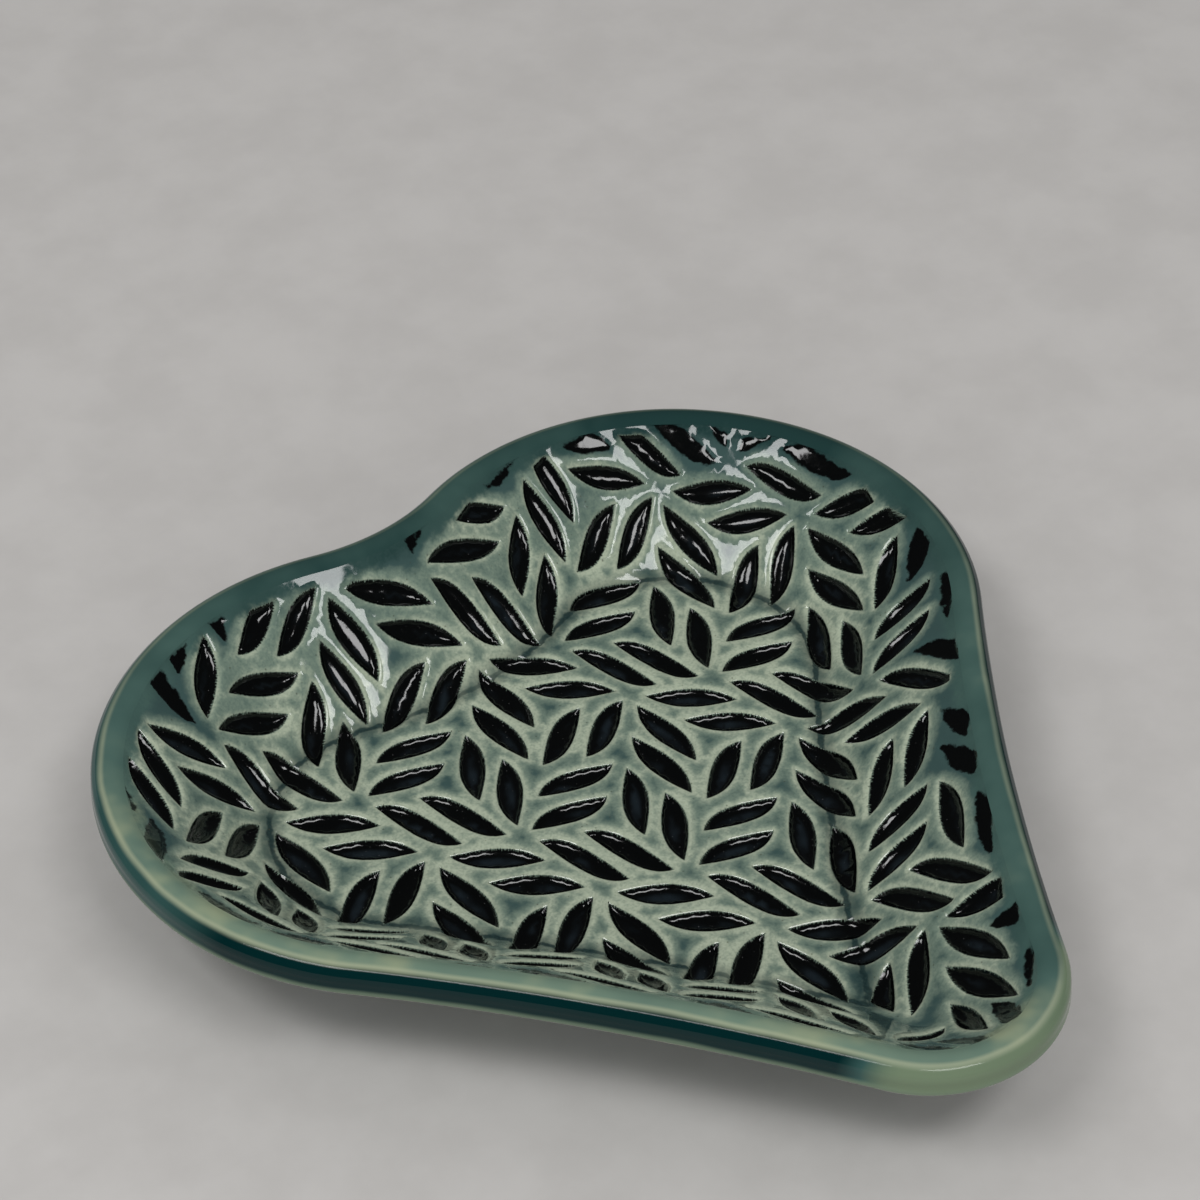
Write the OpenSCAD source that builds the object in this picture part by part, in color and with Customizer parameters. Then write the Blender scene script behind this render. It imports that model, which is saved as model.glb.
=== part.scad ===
// Heart shaped dish: a thin stoneware slab slumped into a shallow heart, with a raised wall all
// round. Leaf shaped pockets are pressed into its inside, black slip lies in the pockets, and a
// glossy green glaze covers everything but the base that it stands on.
// The point of the heart is at -Y, its cleft at +Y, and the base rests at z = 0.

/* [Heart outline] */
// Width across the two lobes
dish_w = 130; // [120:1:145]
// Length from the top of the lobes to the point
dish_l = 131; // [125:1:145]
// Radius of each lobe
lobe_r = 41.5; // [38:0.5:44]
// Radius of the hollow between the lobes
cleft_r = 32; // [26:1:40]
// Radius of the rounded point
tip_r = 18.4; // [15:0.2:21]
// Radius of the point of the floor, where the two sides of the wall meet
floor_tip_r = 1.6; // [1:0.1:3]
// Radius of the faint inward sweep of each side
side_r = 380; // [300:10:600]

/* [Section] */
// Height from the table to the top of the rim
dish_h = 20; // [17:0.5:24]
// Thickness of the glazed wall
wall_t = 5.3; // [4.6:0.1:6.4]
// Thickness of the glazed floor
floor_t = 5.3; // [4.2:0.1:6.4]
// Distance in plan from the outer edge to the crease at the foot of the wall
wall_run = 21.8; // [20:0.2:25]
// Thickness of the glaze
glaze_t = 0.4; // [0.3:0.05:0.6]
// Height above the table where the outside glaze stops
glaze_line_h = 2; // [1.2:0.1:3]

/* [Leaf texture] */
// Length of a middling leaf
leaf_len = 12.9; // [11:0.1:14]
// Width of a leaf
leaf_w = 3.8; // [2.6:0.1:4]
// Distance between the two leaves of a pair
pair_step = 6.5; // [6:0.1:7]
// Depth of the pockets in the clay
pocket_d = 1; // [0.7:0.05:1.4]
// Thickness of the slip left in the pockets
slip_t = 0.5; // [0.3:0.05:0.6]
// Length of the shorter repeat of the texture
repeat_a = 23; // [22:0.1:25]
// Length of the longer repeat of the texture
repeat_b = 38; // [36.5:0.1:41]
// Direction of the shorter repeat, from +X
repeat_a_angle = -56.7; // [-60:0.1:-53]
// Direction of the longer repeat, from +X
repeat_b_angle = -136.5; // [-140:0.1:-133]
// Where one repeat starts, to the right of the middle of the dish
texture_x = -4.2; // [-10:0.1:10]
// Where one repeat starts, towards the lobes
texture_y = 14; // [8:0.1:20]
// Width of the smooth band that the leaves leave free at the rim
smooth_band = 5.2; // [4.9:0.1:8]

// How far the texture turns where the slab closes round into the point, in degrees
point_turn = 8; // [6:1:10]
// How far round the point the texture is turned, less and less over its outer half
point_reach = 26; // [24:0.5:30]

/* [Hidden] */

// How far a cutting shape runs past what it cuts
overrun = 2;
// How far the swept wall reaches in over the floor past the crease
floor_lap = 2;
// How far the wall's part of a leaf laps into the floor's part
crease_lap = 0.2;
// Steps along half of the point, one side, one lobe and half of the cleft, and round the rim
tip_steps = 8;
side_steps = 5;
lobe_steps = 22;
cleft_steps = 5;
rim_steps = 8;

// Centres of the arcs that make the right half of the outline
lobe_c = [dish_w / 2 - lobe_r, dish_l / 2 - lobe_r];
tip_c = [0, tip_r - dish_l / 2];
cleft_c = [0, lobe_c.y + sqrt(pow(lobe_r + cleft_r, 2) - pow(lobe_c.x, 2))];
side_c = arc_centre_between(tip_c, side_r + tip_r, lobe_c, side_r + lobe_r);

// Directions in which the lobe touches the side and the cleft, seen from the middle of the lobe
lobe_start = bearing(side_c - lobe_c);
lobe_end = bearing(cleft_c - lobe_c);

// The wall: a straight slope that touches the half round rim
rim_r = wall_t / 2;
rim_mid = [rim_r, dish_h - rim_r];
crease = [wall_run, floor_t];
wall_angle = bearing([crease.x - rim_mid.x, rim_mid.y - crease.y]) + asin(rim_r / norm(crease - rim_mid));
// A unit step square to the slope, as [inwards, up]
off_slope = [sin(wall_angle), cos(wall_angle)];
sweep_in = wall_run + floor_lap;

// Six pairs of leaves fill one repeat. Each row: the pair's place as shares of the two repeats,
// the direction of its leaves, the direction from one leaf to the other, the leaf's length and
// the pair's step as shares of leaf_len and pair_step, and how far the leaf's two bellies are
// moved apart along it, as a share of its length
pair_shares = [
    [0, 0, -8, -137, 0.92, 0.98, -0.13],
    [1/2, 0, 60, -83, 1.01, 1.08, -0.1],
    [0, 2/3, 25.5, -25, 0.96, 0.94, 0.13],
    [1/2, 2/3, -94.5, -137, 1.05, 0.98, 0.08],
    [3/4, 5/12, -43.5, -83, 0.98, 1.1, 0.07],
    [1/4, 1/4, -70.5, -24, 1.06, 0.94, -0.18]
];
// One leaf, from point to point, as shares of its length and width
leaf_shares = [
    [-0.5, 0], [-0.34, -0.32], [-0.14, -0.49], [0.1, -0.5], [0.32, -0.33],
    [0.5, 0], [0.34, 0.32], [0.14, 0.49], [-0.1, 0.5], [-0.32, 0.33]
];
// How many repeats are tried each way from the first, enough to reach every edge
repeats_a = ceil(dish_l / repeat_a) + 1;
repeats_b = ceil(dish_w / repeat_b) + 1;
// The tightest bend of the wall, seen from above, that still shows a leaf
tight_bend = 3;
// The closest that two rings of the wall's section come to each other
ring_gap = 0.5;
// How far a leaf stops short of the seam where the two sides of the wall meet at the point
seam_gap = 0.5;
// The turning of the texture round the point: how far up from the crease at the point its pivot
// lies, and how far below the middle of the point's arc the middle of the part that turns
pivot_rise = 11;
turn_drop = 3;
turn_pivot = [0, wall_run - dish_l / 2 + pivot_rise];
turn_mid = tip_c - [0, turn_drop];
// How far up the slope from the crease the leaves may reach
texture_reach = (wall_run - smooth_band) / cos(wall_angle);
// How deep the pockets go under the glazed surface, and how far in they meet at the crease
cut_d = glaze_t + pocket_d;
cut_mitre = cut_d * tan(wall_angle / 2);
leaves = all_leaves();

function bearing(v) = atan2(v.y, v.x);
function step_at(angle) = [cos(angle), sin(angle)];

// The point to the right of the line p to q, at distance rp from p and rq from q
function arc_centre_between(p, rp, q, rq) =
    let (d = norm(q - p), u = (q - p) / d, along = (rp * rp - rq * rq + d * d) / (2 * d),
         aside = sqrt(rp * rp - along * along))
    p + u * along + [u.y, -u.x] * aside;

// Points of an arc, without its first one
function arc(centre, r, from, to, steps) =
    [for (i = [1:steps]) centre + r * step_at(from + (to - from) * i / steps)];

// The right half of the outline drawn in by inset, from the point up to the cleft
function half_outline(inset) =
    let (r = max(tip_r - inset, floor_tip_r),
         mid = [0, side_c.y + sqrt(pow(side_r + inset + r, 2) - pow(side_c.x, 2))],
         turn = bearing(side_c - mid))
    [
        mid - [0, r],
        each arc(mid, r, -90, turn, tip_steps),
        each arc(side_c, side_r + inset, 180 + turn, 180 + lobe_start, side_steps),
        each arc(lobe_c, lobe_r - inset, lobe_start, lobe_end, lobe_steps),
        each arc(cleft_c, cleft_r + inset, lobe_end - 180, -90, cleft_steps)
    ];
// The whole outline, anticlockwise
function outline(inset) =
    let (half = half_outline(inset), last = len(half) - 1)
    [each half, for (i = [last - 1:-1:1]) [-half[i].x, half[i].y]];

// Where the crease lies at a depth under the glazed surface
function crease_at(depth) = crease - depth * [tan(wall_angle / 2), 1];
// The place on the slope at a depth under the glazed surface and a height
function slope_at(depth, z) =
    let (c = crease_at(depth)) [c.x + (c.y - z) / tan(wall_angle), z];
// The place on the slope where the arc of the point has shrunk to floor_tip_r and starts to move
// up the seam instead, or as near to it as the lowest height allows
function seam_at(depth, low_z) =
    let (c = crease_at(depth), x = min(tip_r - floor_tip_r, slope_at(depth, low_z).x - ring_gap))
    [x, c.y + (c.x - x) * tan(wall_angle)];
// Places round the rim at radius r, from where the inside slope touches it to the underside
function rim_arc(r) =
    [for (i = [0:rim_steps]) rim_mid + r * step_at(90 - wall_angle + 180 * i / rim_steps)];

// The arc that a point of the right half belongs to: its centre, its radius, and 1 if it bulges
// outwards or -1 if it sweeps inwards
function arc_of(q) =
    let (a = bearing(q - lobe_c), t = bearing(q - tip_c))
    a >= lobe_start && a <= lobe_end ? [lobe_c, lobe_r, 1]
    : q.y < tip_c.y && t < bearing(side_c - tip_c) ? [tip_c, tip_r, 1]
    : norm(q - cleft_c) - cleft_r < norm(q - side_c) - side_r ? [cleft_c, cleft_r, -1]
    : [side_c, side_r, -1];

// Where a spot of the flat slab lies before the wall is bent up: the outward direction, how far
// it is past the crease, and the distance from the middle of its arc before and after bending
function spot_of(flat) =
    let (q = [abs(flat.x), flat.y], arc = arc_of(q), away = norm(q - arc[0]),
         out = arc[2] * (q - arc[0]) / away, past = wall_run - arc[2] * (arc[1] - away))
    [[flat.x < 0 ? -out.x : out.x, out.y], past, away,
     away - arc[2] * max(past, 0) * (1 - cos(wall_angle))];

// The part of an outline that reaches no further than a limit in a direction
function clipped(points, way, limit) = [
    if (len(points) > 0) for (i = [0:len(points) - 1])
        let (p = points[i], q = points[(i + 1) % len(points)],
             p_over = p * way - limit, q_over = q * way - limit)
        each concat(p_over <= 0 ? [p] : [],
                    p_over * q_over < 0 ? [p + (q - p) * p_over / (p_over - q_over)] : [])
];

// A leaf pressed at a spot of the flat slab: its nearest place on the crease, the outward
// direction there, and its corner points as [past the crease, along the crease]. Between the
// point and the floor it stops at the seam.
function leaf_at(place, length, angle, belly_shift) =
    let (spot = spot_of(place), out = spot[0], side = [-out.y, out.x], base = place - out * spot[1],
         ahead = step_at(angle), across = [-ahead.y, ahead.x], own = place.x < 0 ? -1 : 1,
         points = [for (s = leaf_shares)
             let (v = ahead * (s.x + 2 * s.y * belly_shift) * length + across * s.y * leaf_w)
             [spot[1] + v * out, v * side * spot[3] / spot[2]]])
    [base, out, place.y > turn_pivot.y || place.y < tip_c.y ? points
        : clipped(points, -own * [out.x * cos(wall_angle), side.x], own * base.x - seam_gap)];

// How far the texture is turned at a place, and a place after that turn
function turn_at(place) = point_turn * max(0, min(1, 2 - 2 * norm(place - turn_mid) / point_reach));
function turned(place) =
    let (a = turn_at(place), v = place - turn_pivot)
    turn_pivot + [v.x * cos(a) - v.y * sin(a), v.x * sin(a) + v.y * cos(a)];

// Every leaf that lies on the dish and isn't lost in the smooth band or in a tight bend
function all_leaves() = [
    for (i = [-repeats_a:repeats_a], j = [-repeats_b:repeats_b], row = pair_shares, half = [-0.5, 0.5])
        let (even = [texture_x, texture_y] + step_at(repeat_a_angle) * repeat_a * (i + row[0])
                 + step_at(repeat_b_angle) * repeat_b * (j + row[1])
                 + step_at(row[3]) * pair_step * row[5] * half,
             place = turned(even), spot = spot_of(place))
        if (spot[1] < texture_reach - leaf_w / 2 && spot[3] > tight_bend)
            leaf_at(place, leaf_len * row[4], row[2] + turn_at(even), row[6])
];
function reach_in(leaf) = min([for (p = leaf[2]) p.x]);
function reach_out(leaf) = max([for (p = leaf[2]) p.x]);
function on_floor(leaf) = reach_out(leaf) < cut_mitre;
function on_wall(leaf) = reach_in(leaf) > -cut_mitre;

// A closed ring with a section drawn as [distance in from the outer edge, height], anticlockwise
module sweep_round(section) {
    rings = [for (p = section) [for (q = outline(p.x)) [q.x, q.y, p.y]]];
    n = len(rings[0]);
    m = len(section);
    polyhedron([for (ring = rings) each ring], [
        for (i = [0:m - 1], j = [0:n - 1])
            let (ahead = (j + 1) % n, up = (i + 1) % m,
                 a = i * n + j, b = i * n + ahead, c = up * n + ahead, d = up * n + j)
            each [[a, b, c], [a, c, d]]
    ]);
}

// A solid whose section ends level over the floor, from low_z to top_z, and that is filled in
// across the middle of the floor
module dish_layer(section, low_z, top_z) {
    sweep_round([[sweep_in, top_z], each section, [sweep_in, low_z]]);
    translate([0, 0, low_z]) linear_extrude(top_z - low_z) polygon(outline(wall_run));
}

// The part of a leaf on the floor, between two depths under the glazed surface
module floor_piece(leaf, top_d, low_d) {
    side = [-leaf[1].y, leaf[1].x];
    part = clipped(leaf[2], [1, 0], low_d * tan(wall_angle / 2));
    if (len(part) > 2) translate([0, 0, floor_t - low_d]) linear_extrude(low_d - top_d)
        polygon([for (p = part) leaf[0] + leaf[1] * p.x + side * p.y]);
}

// The part of a leaf on the wall, between two depths under the glazed surface
module wall_piece(leaf, top_d, low_d) {
    start = low_d * tan(wall_angle / 2) + crease_lap;
    part = clipped(clipped(leaf[2], [-1, 0], start), [1, 0], texture_reach);
    if (len(part) > 2) translate([leaf[0].x, leaf[0].y, floor_t]) rotate(bearing(leaf[1]))
        rotate([0, -wall_angle, 0]) translate([0, 0, -low_d])
            linear_extrude(low_d - top_d) polygon(part);
}

// All that is taken out for the leaves, through the glaze and into the clay
module leaf_pockets() {
    for (leaf = leaves) {
        if (!on_wall(leaf)) floor_piece(leaf, -overrun, cut_d);
        if (!on_floor(leaf)) wall_piece(leaf, -overrun, cut_d);
    }
}

// The fired clay slab: floor, sloping wall and half round rim, with the leaf pockets pressed in
module clay_body() {
    color("tan") difference() {
        dish_layer([
            crease_at(glaze_t), seam_at(glaze_t, floor_t - glaze_t), each rim_arc(rim_r - glaze_t),
            seam_at(wall_t - glaze_t, 0), slope_at(wall_t - glaze_t, 0)
        ], 0, floor_t - glaze_t);
        leaf_pockets();
    }
}

// The glaze over the floor and the inside of the wall, open at every leaf
module inside_glaze() {
    color("darkseagreen") difference() {
        dish_layer([
            crease, seam_at(0, floor_t), rim_mid + rim_r * off_slope,
            rim_mid + (rim_r - glaze_t) * off_slope, seam_at(glaze_t, floor_t - glaze_t),
            crease_at(glaze_t)
        ], floor_t - glaze_t, floor_t);
        leaf_pockets();
    }
}

// The glaze over the rim and down the outside, to just above the table
module outside_glaze() {
    inner = rim_arc(rim_r - glaze_t);
    color("teal") sweep_round([
        each rim_arc(rim_r), seam_at(wall_t, glaze_line_h), slope_at(wall_t, glaze_line_h),
        slope_at(wall_t - glaze_t, glaze_line_h), seam_at(wall_t - glaze_t, glaze_line_h),
        for (i = [len(inner) - 1:-1:0]) inner[i]
    ]);
}

// The black slip in the pockets of the leaves that lie on the floor
module floor_leaf_slip() {
    color("black") for (leaf = leaves) if (on_floor(leaf))
        floor_piece(leaf, cut_d - slip_t, cut_d);
}

// The black slip in the pockets of the leaves that bend up over the crease
module crease_leaf_slip() {
    color("dimgray") for (leaf = leaves) if (!on_floor(leaf) && !on_wall(leaf)) {
        floor_piece(leaf, cut_d - slip_t, cut_d);
        wall_piece(leaf, cut_d - slip_t, cut_d);
    }
}

// The black slip in the pockets of the leaves that lie on the wall
module wall_leaf_slip() {
    color("black") for (leaf = leaves) if (on_wall(leaf))
        wall_piece(leaf, cut_d - slip_t, cut_d);
}

clay_body();
inside_glaze();
outside_glaze();
floor_leaf_slip();
crease_leaf_slip();
wall_leaf_slip();
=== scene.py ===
import math
from collections import namedtuple
from itertools import product

import bmesh
import bpy
from mathutils import Matrix, Vector, geometry, kdtree, noise


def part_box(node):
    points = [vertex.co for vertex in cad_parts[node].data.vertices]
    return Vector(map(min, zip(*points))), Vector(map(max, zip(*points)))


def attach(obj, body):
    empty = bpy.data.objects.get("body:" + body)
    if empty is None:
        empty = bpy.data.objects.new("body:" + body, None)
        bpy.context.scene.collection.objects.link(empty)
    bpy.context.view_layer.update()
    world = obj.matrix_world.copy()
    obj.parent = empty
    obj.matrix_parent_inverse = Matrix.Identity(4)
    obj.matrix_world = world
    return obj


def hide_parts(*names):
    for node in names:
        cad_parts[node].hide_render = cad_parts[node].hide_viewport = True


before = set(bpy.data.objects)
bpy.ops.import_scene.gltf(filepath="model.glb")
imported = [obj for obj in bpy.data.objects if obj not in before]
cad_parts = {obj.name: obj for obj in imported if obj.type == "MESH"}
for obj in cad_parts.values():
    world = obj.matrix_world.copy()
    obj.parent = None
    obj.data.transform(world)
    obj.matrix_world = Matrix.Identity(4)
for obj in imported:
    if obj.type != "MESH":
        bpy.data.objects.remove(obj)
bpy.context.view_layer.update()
print("frame loaded")

# the torn ends of the leaves come from this seed, so they are the same in every run
noise.seed_set(3)

# lengths are in millimetres until a piece is finished
mm = 0.001
rimLow, rimHigh = (Vector(corner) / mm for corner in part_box("outside_glaze"))

# the heart is four arcs on each side, with the slab bent up round it into a wall
dish = {
    "lobeRadius": 41.5,
    "cleftRadius": 32,
    "pointRadius": 18.4,
    "sideRadius": 380,
    "wall": 5.3,
    "creaseInset": 21.8,
    "creaseBlend": 0.8,  # half the width of the rounding at the crease
    "seamBlend": 1.5,  # rounding where the two sides meet at the point
    "seamWidth": 4,
    "glaze": 0.4,
    "uneven": 0.08,
    "unevenSize": 19,
    "sharpEdge": 48,  # degrees from which an edge is shaded sharp
}

lobeCentre = Vector((rimHigh.x - dish["lobeRadius"], rimHigh.y - dish["lobeRadius"]))
pointCentre = Vector((0, rimLow.y + dish["pointRadius"]))
cleftReach = dish["lobeRadius"] + dish["cleftRadius"]
cleftCentre = Vector((0, lobeCentre.y + math.sqrt(cleftReach ** 2 - lobeCentre.x ** 2)))


def clamp(value, low=0, high=1):
    return min(max(value, low), high)


def between(value, start, end):
    # 0 up to the start, 1 past the end and smooth in the middle
    share = clamp((value - start) / (end - start))
    return share * share * (3 - 2 * share)


def bearing(v):
    return math.atan2(v.y, v.x)


def stepAt(degrees):
    return Vector((math.cos(math.radians(degrees)), math.sin(math.radians(degrees))))


def leftOf(v):
    return Vector((-v.y, v.x))


def arcCentreBetween(p, reachP, q, reachQ):
    # the place at these two distances, to the right of the way from p to q
    gap = (q - p).length
    ahead = (q - p) / gap
    along = (reachP ** 2 - reachQ ** 2 + gap ** 2) / (2 * gap)
    return p + ahead * along - leftOf(ahead) * math.sqrt(reachP ** 2 - along ** 2)


sideCentre = arcCentreBetween(
    pointCentre, dish["sideRadius"] + dish["pointRadius"],
    lobeCentre, dish["sideRadius"] + dish["lobeRadius"],
)
lobeStart = bearing(sideCentre - lobeCentre)
lobeEnd = bearing(cleftCentre - lobeCentre)
pointEnd = bearing(sideCentre - pointCentre)

rimRadius = dish["wall"] / 2
rimHeight = rimHigh.z - rimRadius
floorTop = dish["wall"]
toRim = Vector((dish["creaseInset"] - rimRadius, rimHeight - floorTop))
wallAngle = bearing(toRim) + math.asin(rimRadius / toRim.length)
wallSteep = math.tan(wallAngle)

# a spot of the slab: the way outwards, how far past the crease it is, and its distance from the
# middle of its arc before and after the wall is bent up
Spot = namedtuple("Spot", "out past away bentAway")


def spotOf(flat):
    q = Vector((abs(flat.x), flat.y))
    fromLobe, fromPoint, fromCleft, fromSide = (
        q - centre for centre in (lobeCentre, pointCentre, cleftCentre, sideCentre))
    if lobeStart <= bearing(fromLobe) <= lobeEnd:
        arm, radius, bulge = fromLobe, dish["lobeRadius"], 1
    elif fromPoint.y < 0 and bearing(fromPoint) < pointEnd:
        arm, radius, bulge = fromPoint, dish["pointRadius"], 1
    elif fromCleft.length - dish["cleftRadius"] < fromSide.length - dish["sideRadius"]:
        arm, radius, bulge = fromCleft, dish["cleftRadius"], -1
    else:
        arm, radius, bulge = fromSide, dish["sideRadius"], -1
    away = max(arm.length, 1e-6)
    out = arm * bulge / away
    if flat.x < 0:
        out.x = -out.x
    past = dish["creaseInset"] - bulge * (radius - away)
    return Spot(out, past, away, away - bulge * max(past, 0) * (1 - math.cos(wallAngle)))


# the valley between the two sides runs from the middle of the point to the floor
seamStart = pointCentre.y
seamEnd = seamStart + (dish["creaseInset"] - dish["pointRadius"]) / math.cos(pointEnd + math.pi / 2)
seamRing = [stepAt(angle) for angle in range(0, 360, 30)]


def softSpot(place):
    # the way outwards and the distance past the crease for a place of the plan, rounded along the
    # valley
    y = clamp(place.y, seamStart, seamEnd)
    reach = 1 - (place - Vector((0, y))).length / dish["seamWidth"]
    if reach <= 0:
        spot = spotOf(place)
        return spot.out, spot.past
    spots = [spotOf(place + step * dish["seamBlend"] * reach) for step in seamRing]
    out = sum((spot.out for spot in spots), Vector((0, 0))) / len(spots)
    return out, sum(spot.past for spot in spots) / len(spots)


def unevenAt(place):
    return noise.noise(place / dish["unevenSize"]) * dish["uneven"]


def onSlab(place, depth):
    # the place on the glazed inside over a place of the plan, or that deep under it
    out, past = softSpot(place)
    blend = dish["creaseBlend"]
    bend = clamp((past + blend) / (2 * blend))
    rise = wallSteep * (past if past > blend else blend * bend ** 2)
    square = Vector((-out.x * wallSteep * bend, -out.y * wallSteep * bend, 1)).normalized()
    surface = Vector((place.x, place.y, floorTop + rise))
    return surface + square * (unevenAt(surface) - depth)


# where the glaze ran thick: towards the right lobe on the inside, along the sides on the rim
thickGlaze = {
    "way": (0.75, 0.6),
    "middle": 0.53,
    "spread": 0.5,
    "sideFrom": (-58, -50),
    "sideTo": (24, 4),
    "lobeRim": 0.5,
}


def bandDepthAt(out):
    towards = out.dot(Vector(thickGlaze["way"]))
    return clamp(thickGlaze["middle"] + thickGlaze["spread"] * towards)


def rimDepthAt(place):
    least = thickGlaze["lobeRim"]
    most = least + (1 - least) * between(place.y, *thickGlaze["sideTo"])
    return between(place.y, *thickGlaze["sideFrom"]) * most


def addPiece(name, bm, material, slot, *nodes):
    # makes a mesh in millimetres into a piece of the dish
    bmesh.ops.scale(bm, vec=(mm, mm, mm), verts=bm.verts[:])
    bm.normal_update()
    sharp = math.radians(dish["sharpEdge"])
    for edge in bm.edges:
        edge.smooth = len(edge.link_faces) < 2 or edge.calc_face_angle(0) < sharp
    for face in bm.faces:
        face.smooth = True
    mesh = bpy.data.meshes.new(name)
    bm.to_mesh(mesh)
    bm.free()
    mesh.materials.append(material)
    piece = bpy.data.objects.new(name, mesh)
    bpy.context.collection.objects.link(piece)
    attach(piece, "root")
    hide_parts(*nodes)
    print(name, "has", len(mesh.polygons), "faces")


class Nodes:
    # short ways to add and join the nodes of one material
    def __init__(self, name):
        self.material = bpy.data.materials.new(name)
        self.material.use_nodes = True
        self.nodes, self.links = self.material.node_tree.nodes, self.material.node_tree.links
        self.shader = self.nodes["Principled BSDF"]
        self.place = self.add("ShaderNodeTexCoord").outputs["Object"]

    def plug(self, socket, value):
        if isinstance(value, bpy.types.NodeSocket):
            self.links.new(value, socket)
        else:
            socket.default_value = value

    def fill(self, node, values):
        # the values go to the inputs of these names, with an underscore for a space
        for name, value in values.items():
            self.plug(node.inputs[name.replace("_", " ")], value)

    def add(self, kind, **values):
        node = self.nodes.new(kind)
        self.fill(node, values)
        return node

    def finish(self, **values):
        self.fill(self.shader, values)
        return self.material

    def attribute(self, name):
        node = self.add("ShaderNodeAttribute")
        node.attribute_name = name
        return node.outputs["Fac"]

    def height(self):
        return self.add("ShaderNodeSeparateXYZ", Vector=self.place).outputs["Z"]

    def maths(self, kind, a, b=0.0):
        node = self.add("ShaderNodeMath")
        node.operation = kind
        self.plug(node.inputs[0], a)
        self.plug(node.inputs[1], b)
        return node.outputs[0]

    def plus(self, a, b):
        return self.maths("ADD", a, b)

    def times(self, a, b):
        return self.maths("MULTIPLY", a, b)

    def sway(self, value, pattern, amount, middle=0.5):
        # the value, moved by how far a pattern is from its middle
        return self.plus(value, self.times(self.maths("SUBTRACT", pattern, middle), amount))

    def noise(self, scale, detail=3, roughness=0.55, source=None):
        node = self.add(
            "ShaderNodeTexNoise", Vector=source or self.place,
            Scale=scale, Detail=detail, Roughness=roughness)
        return node.outputs["Fac"]

    def specks(self, scale, full, gone):
        # round spots that are full up to one distance from their middle and gone past the other
        node = self.add("ShaderNodeTexVoronoi", Vector=self.place, Scale=scale)
        return self.step(node.outputs["Distance"], full, gone, 1.0, 0.0)

    def step(self, value, start, end, low=0.0, high=1.0):
        # low up to the start, high past the end and smooth in the middle
        node = self.add(
            "ShaderNodeMapRange", Value=value,
            From_Min=start, From_Max=end, To_Min=low, To_Max=high)
        node.interpolation_type = "SMOOTHSTEP"
        return node.outputs[0]

    def ramp(self, value, stops):
        node = self.add("ShaderNodeValToRGB", Fac=value)
        elements = node.color_ramp.elements
        while len(elements) < len(stops):
            elements.new(0.5)
        for element, (position, colour) in zip(elements, stops):
            element.position = position
            element.color = (*colour, 1)
        return node.outputs["Color"]

    def mix(self, share, a, b):
        node = self.add("ShaderNodeMix")
        node.data_type = "RGBA"
        self.plug(node.inputs["Factor"], share)
        for name, value in (("A", a), ("B", b)):
            socket = next(s for s in node.inputs if s.name == name and s.type == "RGBA")
            self.plug(socket, (*value, 1) if isinstance(value, tuple) else value)
        return next(s for s in node.outputs if s.type == "RGBA")

    def bump(self, height, distance, strength):
        node = self.add("ShaderNodeBump", Height=height, Distance=distance, Strength=strength)
        return node.outputs["Normal"]


glazeColours = {
    "cream": (0.395, 0.45, 0.34),
    "sage": (0.165, 0.222, 0.175),
    "teal": (0.042, 0.08, 0.076),
    # dark teal of the crease, partly pooled glaze and partly painted shade
    "poolAndShade": (0.008, 0.022, 0.023),
    "straw": (0.31, 0.34, 0.21),
    "break": (0.34, 0.37, 0.25),
    "speck": (0.05, 0.05, 0.03),
    "slip": (0.0012, 0.0016, 0.0017),
    # bluish centre of the slip: partly glaze pooled deep in the leaves, partly a painted sheen
    "slipPoolAndSheen": (0.009, 0.014, 0.018),
    "dust": (0.25, 0.25, 0.25),
    "band": [(0, (0.15, 0.22, 0.165)), (0.5, (0.06, 0.115, 0.1)), (1, (0.014, 0.04, 0.038))],
    "rimFace": [
        (0, (0.14, 0.19, 0.12)), (0.45, (0.03, 0.078, 0.072)), (0.85, (0.0005, 0.016, 0.017))],
    "underRim": (0.16, 0.22, 0.15),
    "outside": (0.045, 0.095, 0.085),
}

# in the looks below a noise has its scale, detail and roughness, a sway how far a noise moves a
# value, a step its start, its end and the values there if they aren't 0 and 1, specks have their
# scale and the distances where they are full and gone, and a bump has its distance and strength
bandLook = {
    "noise": (70, 3),
    "sway": 0.7,
    "patchStep": (0.5, 0.3),
    "thinStep": (0.6, 0.15),
    "patchShare": 0.6,
}


def bandOn(made):
    # the smooth glaze between the texture and the edge: how thick it ran, and its colour
    look = bandLook
    broad = made.noise(*look["noise"])
    depth = made.sway(made.attribute("bandDepth"), broad, look["sway"])
    colour = made.ramp(depth, glazeColours["band"])
    patch = made.times(made.step(broad, *look["patchStep"]), made.step(depth, *look["thinStep"]))
    return depth, made.mix(made.times(patch, look["patchShare"]), colour, glazeColours["straw"])


featherLook = {
    "squeeze": 0.3,
    "noise": (5.5, 2, 0.75),
    "noiseMiddle": 0.55,
    "sway": -0.9,
    "edgeStep": (-0.06, 0.06, 1.0, 0.0),
}


def slipShare(made, gap):
    # 1 on the slip and 0 on the glaze: its edge is feathered into fine streaks square to the leaf
    look = featherLook
    run = made.attribute("leafRun")
    along = made.add("ShaderNodeCombineXYZ", X=run, Y=made.times(gap, look["squeeze"]))
    streaks = made.noise(*look["noise"], source=along.outputs[0])
    edge = made.sway(gap, streaks, look["sway"], look["noiseMiddle"])
    return made.step(edge, *look["edgeStep"])


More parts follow.
